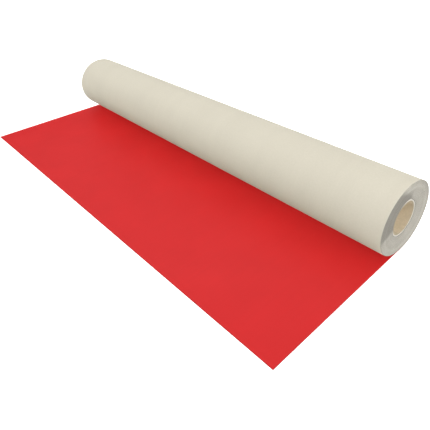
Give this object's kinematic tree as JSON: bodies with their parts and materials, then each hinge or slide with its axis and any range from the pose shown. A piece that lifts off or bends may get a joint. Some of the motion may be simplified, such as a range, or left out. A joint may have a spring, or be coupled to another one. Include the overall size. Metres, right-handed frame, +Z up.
{
  "type": "backdrop roll",
  "caption": "Thick roll of one-side-coloured backdrop web on a board core, its free end drawn out flat on the floor; unrolls and rolls up.",
  "frame": {"origin": "on the floor, straight below the middle of the roll's axis", "axes": "+X along the roll's axis, +Y horizontal, away from the drawn-out sheet, +Z up"},
  "size_m": [1.35, 0.5428, 0.1904],
  "materials": {
    "web_colour_side": "matt coated colour side, saturated red",
    "web_reverse": "matt uncoated reverse, cream",
    "web_edges": "slit edges of the wound web, grey cream, finely layered",
    "start_tape": "paper tape, satin",
    "core_wrap": "smooth pale wrap ply, matt",
    "core_board": "spirally wound board plies, matt",
    "core_liner": "kraft inner plies, matt, tan"
  },
  "bodies": {
    "laid_web": {"laid_sheet": "web_colour_side"},
    "last_turn": {"outer_turn": "web_reverse"},
    "wound_roll": {"wound_web": "web_edges", "start_tape": "start_tape", "core_wrap": "core_wrap", "core_body": "core_board", "core_liner": "core_liner"}
  },
  "joints": [
    {"name": "unroll_travel", "type": "slide", "parent": "laid_web", "child": "last_turn", "axis": [0, 1, 0], "range_m": [-0.2, 0.596]},
    {"name": "roll_spin", "type": "hinge", "parent": "last_turn", "child": "wound_roll", "pos_m": [0, 0, 0.09575], "axis": [1, 0, 0], "range_deg": [-360, 121]}
  ],
  "couplings": [
    {"joint": "roll_spin", "follows": "unroll_travel", "rad_per_m": -10.526}
  ]
}
